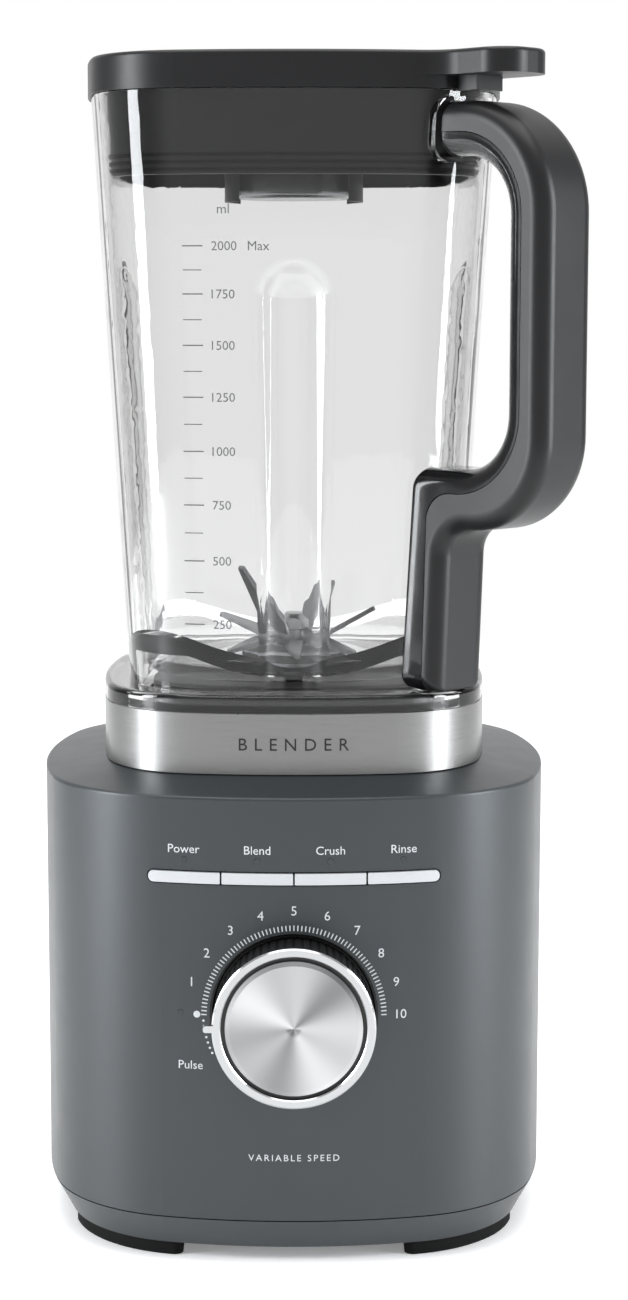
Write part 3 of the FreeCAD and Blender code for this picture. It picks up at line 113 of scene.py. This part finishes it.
# ------------------------------------------------------------ shader arithmetic
class Value:
    """A number socket of a node tree that takes part in Python expressions."""

    def __init__(self, nodes, socket):
        self.nodes = nodes
        self.socket = socket

    def _maths(self, operation, first, second):
        return self.nodes.node("ShaderNodeMath", {"operation": operation}, {0: first, 1: second})

    def __add__(self, other):
        return self._maths("ADD", self, other)

    __radd__ = __add__

    def __sub__(self, other):
        return self._maths("SUBTRACT", self, other)

    def __rsub__(self, other):
        return self._maths("SUBTRACT", other, self)

    def __mul__(self, other):
        return self._maths("MULTIPLY", self, other)

    __rmul__ = __mul__

    def __pow__(self, other):
        return self._maths("POWER", self, other)


class Nodes:
    """A node tree and the means to fill it."""

    def __init__(self, tree, shader):
        self.tree = tree
        self.shader = tree.nodes[shader]

    def node(self, kind, settings, values, output=0):
        """Adds a node: its settings first, then the values or links of its sockets."""
        made = self.tree.nodes.new(kind)
        for key, value in settings.items():
            if key == "stops":
                ramp = made.color_ramp
                while len(ramp.elements) < len(value):
                    ramp.elements.new(1.0)
                for element, (place, colour) in zip(ramp.elements, value):
                    element.position = place
                    element.color = colour
            else:
                setattr(made, key, value)
        for key, value in values.items():
            if isinstance(value, Value):
                self.tree.links.new(value.socket, made.inputs[key])
            else:
                made.inputs[key].default_value = value
        return Value(self, made.outputs[output])

    def drive(self, socket, value):
        self.tree.links.new(value.socket, self.shader.inputs[socket])

    def split(self, vector):
        made = self.tree.nodes.new("ShaderNodeSeparateXYZ")
        self.tree.links.new(vector.socket, made.inputs[0])
        return [Value(self, made.outputs[axis]) for axis in range(3)]


class Finish(Nodes):
    """One material: a Principled shader and the nodes that vary it over the surface."""

    def __init__(self, name, **constants):
        self.material = bpy.data.materials.new(name)
        self.material.use_nodes = True
        super().__init__(self.material.node_tree, "Principled BSDF")
        for socket, value in constants.items():
            self.shader.inputs[socket.replace("_", " ")].default_value = value

    def place(self):
        """Position in the row frame, in metres."""
        return self.node("ShaderNodeTexCoord", {}, {}, "Object")

    def stretched(self, x, y, z):
        return self.node("ShaderNodeMapping", {}, {"Vector": self.place(), "Scale": (x, y, z)})

    def noise(self, scale, detail=3.0, where=None):
        return self.node("ShaderNodeTexNoise", {}, {"Vector": where or self.place(), "Scale": scale,
                                                     "Detail": detail})

    def mix(self, share, first, second):
        return self.node("ShaderNodeMix", {"data_type": "RGBA"}, {0: share, 6: first, 7: second}, 2)

    def sine(self, value):
        return self.node("ShaderNodeMath", {"operation": "SINE"}, {0: value})

    def bump(self, height, strength, distance):
        self.drive("Normal", self.node("ShaderNodeBump", {}, {"Height": height, "Strength": strength,
                                                              "Distance": distance}))


def rgb(red, green, blue):
    """Linear colour from display values of 0 to 255."""
    return tuple(((v / 255 + 0.055) / 1.055) ** 2.4 if v > 10 else v / 255 / 12.92
                 for v in (red, green, blue)) + (1.0,)


def shade(colour, factor):
    return tuple(c * factor for c in colour[:3]) + (1.0,)


def moulded(name, colour, rough, grain=0.06, speckle=0.08, **constants):
    """Moulded or sprayed plastic: faint mottle, a fine grain and slightly uneven gloss."""
    made = Finish(name, Roughness=rough, **constants)
    mottle = made.noise(28.0)
    fine = made.noise(2600.0, 2.0)
    made.drive("Base Color", made.mix(mottle * 0.7 + fine * 0.3, shade(colour, 1 - speckle),
                                      shade(colour, 1 + speckle)))
    made.drive("Roughness", rough - 0.05 + made.noise(90.0) * 0.10)
    made.bump(fine, grain, 0.0002)
    return made.material


def brushed(name, colour, rough, scale, depth=0.12, contrast=0.16):
    """Metal with fine parallel scratches; scale gives how tight they are along each axis."""
    made = Finish(name, Metallic=1.0)
    lines = made.noise(1.0, 4.0, made.stretched(*scale))
    broad = made.noise(14.0)
    made.drive("Base Color", made.mix(lines * 0.75 + broad * 0.25, shade(colour, 1 - contrast),
                                      shade(colour, 1 + contrast)))
    made.drive("Roughness", rough + (lines - 0.5) * 0.16)
    made.bump(lines, depth, 0.0002)
    return made.material


def soft_rubber(name, colour):
    made = Finish(name, Roughness=0.75, Specular_IOR_Level=0.15)
    dust = made.noise(160.0)
    made.drive("Base Color", made.mix(dust, shade(colour, 0.7), shade(colour, 1.6)))
    made.drive("Roughness", 0.66 + dust * 0.2)
    made.bump(made.noise(1800.0, 2.0), 0.15, 0.0003)
    return made.material


def clear(name, colour, rough, ior, **constants):
    """Clear moulding with faint flow marks in its gloss."""
    made = Finish(name, IOR=ior, Transmission_Weight=1.0, **constants)
    flow = made.noise(6.0, 2.0, made.stretched(1.0, 1.0, 0.3))
    made.drive("Base Color", made.mix(flow, shade(colour, 0.985), colour))
    made.drive("Roughness", rough + made.noise(60.0) * 0.015)
    return made.material


def spun_metal(name, colour, centre):
    """Turned disc: fine rings, and bright and dark cones of reflection painted into its colour by the angle
    round its centre.
    """
    made = Finish(name, Metallic=1.0)
    x, _, z = made.split(made.place())
    across = x - centre.x
    rise = z - centre.z
    distance = (across * across + rise * rise) ** 0.5
    angle = made.node("ShaderNodeMath", {"operation": "ARCTAN2"}, {0: rise, 1: across})
    painted_cones = made.sine(angle * 2.0 + 2.97)
    painted_fans = made.sine(angle * 5.0 + 1.05)
    painted_reflection = 0.5 + painted_cones * 0.30 + painted_fans * 0.20
    rings = made.noise(1.0, 2.0, made.node("ShaderNodeCombineXYZ", {}, {0: distance * 9000.0}))
    # Painted reflection: the base colour runs from a dark copy to a bright copy of the metal by angle round
    # the dial, standing in for the cones of light that the rings throw.
    made.drive("Base Color", made.mix(painted_reflection, shade(colour, 0.42), shade(colour, 1.25)))
    made.drive("Roughness", 0.30 + rings * 0.14)
    made.bump(rings, 0.10, 0.0001)
    return made.material


def winding(name, colour):
    """Enamelled wire laid in close turns, with painted shade between the turns and a painted sheen on their
    crowns.
    """
    made = Finish(name, Metallic=0.8, Coat_Weight=0.4)
    _, _, z = made.split(made.place())
    turns = made.sine(z * 9000.0)
    # Painted shade and highlight: the copper runs from a dark copy in the gaps between turns to a bright
    # copy on their crowns.
    made.drive("Base Color", made.mix(0.5 + turns * 0.5, shade(colour, 0.45), shade(colour, 1.15)))
    made.drive("Roughness", 0.32 + made.noise(200.0) * 0.12)
    made.bump(turns, 0.5, 0.0003)
    return made.material


def laminated(name, colour):
    """Stacked steel sheets."""
    made = Finish(name, Metallic=0.9)
    _, _, z = made.split(made.place())
    sheets = made.sine(z * 12000.0)
    made.drive("Base Color", made.mix(0.5 + sheets * 0.5, shade(colour, 0.6), shade(colour, 1.1)))
    made.drive("Roughness", 0.42 + made.noise(120.0) * 0.15)
    made.bump(sheets, 0.4, 0.0003)
    return made.material


def ink(name, colour):
    """Pad-printed ink, a little uneven."""
    made = Finish(name, Roughness=0.5)
    patch = made.noise(500.0)
    made.drive("Base Color", made.mix(patch, shade(colour, 0.9), colour))
    made.drive("Roughness", 0.42 + patch * 0.16)
    return made.material


# ------------------------------------------------------------ finishes, by the record's slots
dial_low, dial_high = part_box("knob_disc")
DIAL = (dial_low + dial_high) / 2

BLUE_GREY = rgb(43, 48, 51)
CHARCOAL = rgb(22, 22, 23)
BLACK = rgb(13, 13, 13)
STEEL = rgb(134, 134, 133)
PRINT = rgb(196, 200, 202)

finishes = {
    "housing_finish": moulded("housing_satin", BLUE_GREY, 0.42, grain=0.02, Metallic=0.25,
                              Coat_Weight=0.25, Coat_Roughness=0.4),
    "dark_plastic": moulded("dark_moulding", BLACK, 0.42),
    "lid_finish": moulded("charcoal_satin", CHARCOAL, 0.38, grain=0.02, Specular_IOR_Level=0.3),
    "liner_finish": moulded("liner_gloss", rgb(14, 14, 15), 0.14, grain=0.01, Coat_Weight=0.5,
                            Coat_Roughness=0.05, Specular_IOR_Level=0.3),
    "clear_jar": clear("clear_jar_moulding", (0.90, 0.90, 0.90, 1.0), 0.01, 1.46),
    "grey_cup": clear("smoked_cup", (0.20, 0.205, 0.21, 1.0), 0.16, 1.46),
    "black_rubber": soft_rubber("black_rubber", rgb(9, 9, 9)),
    "brushed_band": brushed("brushed_collar", STEEL, 0.30, (60.0, 60.0, 9000.0)),
    "bright_metal": brushed("polished_ring", rgb(176, 177, 178), 0.16, (300.0, 3000.0, 300.0), 0.02, 0.03),
    "spun_disc": spun_metal("spun_disc", rgb(184, 184, 185), DIAL),
    "key_silver": moulded("key_silver", rgb(186, 188, 191), 0.30, grain=0.0, speckle=0.01,
                          Metallic=0.35),
    "blade_steel": brushed("ground_steel", rgb(126, 127, 129), 0.24, (400.0, 4000.0, 400.0)),
    "shaft_steel": brushed("turned_steel", rgb(168, 169, 172), 0.30, (200.0, 200.0, 7000.0)),
    "core_steel": laminated("laminated_steel", rgb(120, 121, 124)),
    "copper_wire": winding("enamelled_copper", rgb(196, 112, 58)),
    "carbon": soft_rubber("carbon_brush", rgb(38, 38, 40)),
    "fan_plastic": moulded("fan_moulding", rgb(168, 170, 168), 0.5),
    "bracket_metal": brushed("cast_bracket", rgb(172, 174, 176), 0.46, (700.0, 700.0, 700.0)),
    "board_green": moulded("board_laminate", rgb(24, 84, 52), 0.35),
    "light_pipe": moulded("light_window", rgb(40, 43, 45), 0.20, grain=0.01),
    "white_nylon": moulded("white_nylon", rgb(214, 212, 202), 0.45),
    "screw_steel": brushed("plated_screw", rgb(160, 160, 158), 0.34, (900.0, 900.0, 900.0)),
}
white_ink = ink("white_ink", PRINT)
jar_ink = ink("jar_ink", rgb(92, 93, 94))

for part in frame["record"]["subparts"]:
    for holder in nodes[part["node"]].material_slots:
        holder.material = finishes[part["material_slot"]]


# ------------------------------------------------------------ printed marks
def surface_of(node):
    """Search tree of a CAD node's faces."""
    mesh = nodes[node].data
    return BVHTree.FromPolygons([v.co for v in mesh.vertices], [p.vertices for p in mesh.polygons])


SKINS = {node: surface_of(node) for node in ("motor_housing", "jar", "collar_band")}


def new_piece(name, mesh, material, body):
    mesh.materials.clear()
    mesh.materials.append(material)
    piece = bpy.data.objects.new(name, mesh)
    bpy.context.scene.collection.objects.link(piece)
    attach(piece, body)


def lay_on(mesh, node, lift=PRINT_LIFT * MM):
    """Moves a flat print in the XZ plane back onto a node's front, following its curve."""
    for vertex in mesh.vertices:
        start = Vector((vertex.co.x, cad_low.y - 0.1, vertex.co.z))
        hit = SKINS[node].ray_cast(start, Vector((0, 1, 0)))[0]
        vertex.co.y += hit.y - lift
    return mesh


def bars_mesh(name, bars):
    """Thin plates in the XZ plane, each from four (x, z) corners, in metres."""
    made = bmesh.new()
    for corners in bars:
        back = [made.verts.new((x, 0, z)) for x, z in corners]
        front = [made.verts.new((x, -PRINT_T * MM, z)) for x, z in corners]
        made.faces.new(front)
        made.faces.new(back[::-1])
        for index in range(len(corners)):
            after = (index + 1) % len(corners)
            made.faces.new((front[index], back[index], back[after], front[after]))
    bmesh.ops.recalc_face_normals(made, faces=made.faces)
    mesh = bpy.data.meshes.new(name)
    made.to_mesh(mesh)
    made.free()
    return mesh


def bar(x_low, x_high, z, thick):
    half = thick / 2
    return [(x_low, z - half), (x_high, z - half), (x_high, z + half), (x_low, z + half)]


def disc(x, z, radius, sides=20):
    return [(x + radius * math.cos(2 * math.pi * k / sides), z + radius * math.sin(2 * math.pi * k / sides))
            for k in range(sides)]


def text_mesh(name, words, height, x, z, align="CENTER", thick=PRINT_T, spacing=1.0):
    """Lettering as a thin solid, its capitals a given height, centred on z."""
    curve = bpy.data.curves.new(name, "FONT")
    curve.body = words
    curve.size = 1.0
    curve.extrude = LETTER_DEPTH
    curve.space_character = spacing
    curve.resolution_u = 3
    holder = bpy.data.objects.new(name, curve)
    bpy.context.scene.collection.objects.link(holder)
    bpy.context.view_layer.update()
    mesh = bpy.data.meshes.new_from_object(holder.evaluated_get(bpy.context.evaluated_depsgraph_get()))
    bpy.data.objects.remove(holder)
    xs = [v.co.x for v in mesh.vertices]
    ys = [v.co.y for v in mesh.vertices]
    scale = height * MM / (max(ys) - min(ys))
    anchor = min(xs) if align == "LEFT" else (min(xs) + max(xs)) / 2
    middle = (min(ys) + max(ys)) / 2
    for vertex in mesh.vertices:
        across, up, out = vertex.co
        depth = out / (2 * LETTER_DEPTH) + 0.5
        vertex.co = (x + (across - anchor) * scale, -depth * thick * MM, z + (up - middle) * scale)
    return mesh


def print_on(name, mesh, node="motor_housing", material=white_ink, body="base"):
    """Lays a print on a node's front and makes it a piece."""
    new_piece(name, lay_on(mesh, node), material, body)


def round_dial(degrees, radius):
    """The place at an angle and a radius in millimetres from the dial's centre."""
    turn = math.radians(degrees)
    return DIAL.x + radius * MM * math.cos(turn), DIAL.z + radius * MM * math.sin(turn)


def dial_scale():
    """Ticks, dots and numbers round the speed dial."""
    marks = []
    for index in range(int(HALF_TURN / TICK_STEP) + 1):
        turn = math.radians(HALF_TURN - index * TICK_STEP)
        along = Vector((math.cos(turn), math.sin(turn)))
        side = Vector((-along.y, along.x)) * TICK_WIDE * MM / 2
        near = along * TICK_IN * MM
        far = along * TICK_OUT * MM
        corners = (near - side, far - side, far + side, near + side)
        marks.append([(DIAL.x + p.x, DIAL.z + p.y) for p in corners])
    marks.append(disc(DIAL.x - START_DOT_AT * MM, DIAL.z, START_DOT_R * MM))
    for index in range(PULSE_DOTS):
        x, z = round_dial(PULSE_FROM + PULSE_STEP * index, PULSE_DOT_AT)
        marks.append(disc(x, z, PULSE_DOT_R * MM, 12))
    print_on("dial_ticks", bars_mesh("dial_ticks", marks))
    for number in range(1, NUMBERS + 1):
        name = "dial_number_%d" % number
        x, z = round_dial(HALF_TURN - HALF_TURN / NUMBERS * number, NUMBER_R)
        print_on(name, text_mesh(name, str(number), NUMBER_H, x, z))


def panel_words():
    """Generic words by the keys and under the dial."""
    for index, word in enumerate(("Power", "Blend", "Crush", "Rinse")):
        low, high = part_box("button_%d" % (index + 1))
        name = "word_" + word
        print_on(name, text_mesh(name, word, LABEL_H, (low.x + high.x) / 2, LABEL_Z * MM))
    print_on("word_pulse", text_mesh("word_pulse", "Pulse", LABEL_H, PULSE_X * MM, PULSE_Z * MM))
    mesh = text_mesh("word_speed", "VARIABLE SPEED", FOOT_LABEL_H, 0, FOOT_LABEL_Z * MM,
                     spacing=FOOT_SPACING)
    print_on("word_speed", mesh)


def jar_print(name, mesh):
    print_on(name, mesh, "jar", jar_ink, "jar")


def jar_scale():
    """Measuring marks on the front of the jar, with a short line between each two."""
    lines = []
    for index, z in enumerate(MARK_HEIGHTS):
        lines.append(bar(MARK_LEFT * MM, MARK_RIGHT * MM, z * MM, MARK_T * MM))
        if index:
            between = (z + MARK_HEIGHTS[index - 1]) / 2
            lines.append(bar(BETWEEN_LEFT * MM, BETWEEN_RIGHT * MM, between * MM, BETWEEN_T * MM))
        name = "jar_number_%d" % (index + 1)
        number = str(MARK_STEP * (index + 1))
        jar_print(name, text_mesh(name, number, MARK_NUMBER_H, MARK_NUMBER_X * MM, z * MM, "LEFT"))
    jar_print("jar_lines", bars_mesh("jar_lines", lines))
    top = MARK_HEIGHTS[-1]
    jar_print("jar_unit", text_mesh("jar_unit", "ml", UNIT_H, UNIT_X * MM, (top + UNIT_UP) * MM))
    jar_print("jar_limit", text_mesh("jar_limit", "Max", MARK_NUMBER_H, LIMIT_X * MM, top * MM, "LEFT"))


def collar_word():
    """A generic word on the band, where a name plate would be."""
    low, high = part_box("collar_band")
    mesh = text_mesh("collar_word", "BLENDER", COLLAR_LABEL_H, 0, (low.z + high.z) / 2,
                     thick=COLLAR_LABEL_T, spacing=COLLAR_SPACING)
    new_piece("collar_word", lay_on(mesh, "collar_band", 0.0), finishes["dark_plastic"], "base")


dial_scale()
panel_words()
jar_scale()
collar_word()


# ------------------------------------------------------------ stage, lights and camera
def soft_box(name, place, wide, tall, power, colour=(1, 1, 1)):
    data = bpy.data.lights.new(name, "AREA")
    data.shape = "RECTANGLE"
    data.size = wide
    data.size_y = tall
    data.energy = power
    data.color = colour
    lamp = bpy.data.objects.new(name, data)
    lamp.location = place
    lamp.visible_transmission = False
    lamp.rotation_euler = (Vector(AIM) - Vector(place)).to_track_quat("-Z", "Y").to_euler()
    bpy.context.scene.collection.objects.link(lamp)


def stage():
    mesh = bpy.data.meshes.new("floor")
    made = bmesh.new()
    bmesh.ops.create_circle(made, cap_ends=True, segments=96, radius=FLOOR_R)
    made.to_mesh(mesh)
    made.free()
    floor = bpy.data.objects.new("floor", mesh)
    floor.location.z = cad_low.z - FLOOR_GAP
    bpy.context.scene.collection.objects.link(floor)
    paper = Finish("pale_floor", Roughness=0.55, Emission_Strength=0.2)
    cloud = paper.noise(3.0)
    paper.drive("Base Color", paper.mix(cloud, (0.93, 0.93, 0.93, 1), (0.96, 0.96, 0.96, 1)))
    mesh.materials.append(paper.material)


def lights():
    for name, side, power in (("left_strip", -1, 26), ("right_strip", 1, 24)):
        place = (side * STRIP_X, STRIP_Y, STRIP_Z)
        soft_box(name, place, STRIP_WIDE, STRIP_TALL, power, STRIP_TINT)
    soft_box("overhead", (0.0, OVERHEAD_Y, OVERHEAD_Z), OVERHEAD_SIDE, OVERHEAD_SIDE, 18)


def studio():
    """White to the eye; dimmer at the front and dark at both sides, which draws clear edges."""
    world = bpy.data.worlds.new("studio")
    world.use_nodes = True
    sky = Nodes(world.node_tree, "Background")
    sky.shader.inputs["Color"].default_value = (1.0, 1.0, 1.0, 1)
    x, y, _ = sky.split(sky.node("ShaderNodeTexCoord", {}, {}, "Generated"))
    smooth = {"interpolation_type": "SMOOTHSTEP"}
    sides = sky.node("ShaderNodeMapRange", smooth, {"Value": x * x, "From Min": 0.2, "From Max": 0.75,
                                                    "To Min": 1.0, "To Max": 0.3})
    depth = sky.node("ShaderNodeMapRange", smooth, {"Value": y, "From Min": -0.6, "From Max": 0.3,
                                                    "To Min": 0.58, "To Max": 1.0})
    seen = sky.node("ShaderNodeLightPath", {}, {}, "Is Camera Ray")
    sky.drive("Strength", sky.node("ShaderNodeMath", {"operation": "MAXIMUM"},
                                   {0: sides * depth, 1: seen}))
    bpy.context.scene.world = world


def camera():
    data = bpy.data.cameras.new("camera")
    data.lens = FOCAL_MM
    data.sensor_width = 36.0
    data.shift_x = SHIFT_X
    data.clip_start = 0.01
    data.clip_end = 50.0
    eye = bpy.data.objects.new("camera", data)
    eye.location = (0, -CAMERA_BACK, CAMERA_Z)
    eye.rotation_euler = (math.radians(90 - CAMERA_PITCH), 0, 0)
    bpy.context.scene.collection.objects.link(eye)
    bpy.context.scene.camera = eye


stage()
lights()
studio()
camera()
bpy.context.scene.view_settings.view_transform = "Standard"
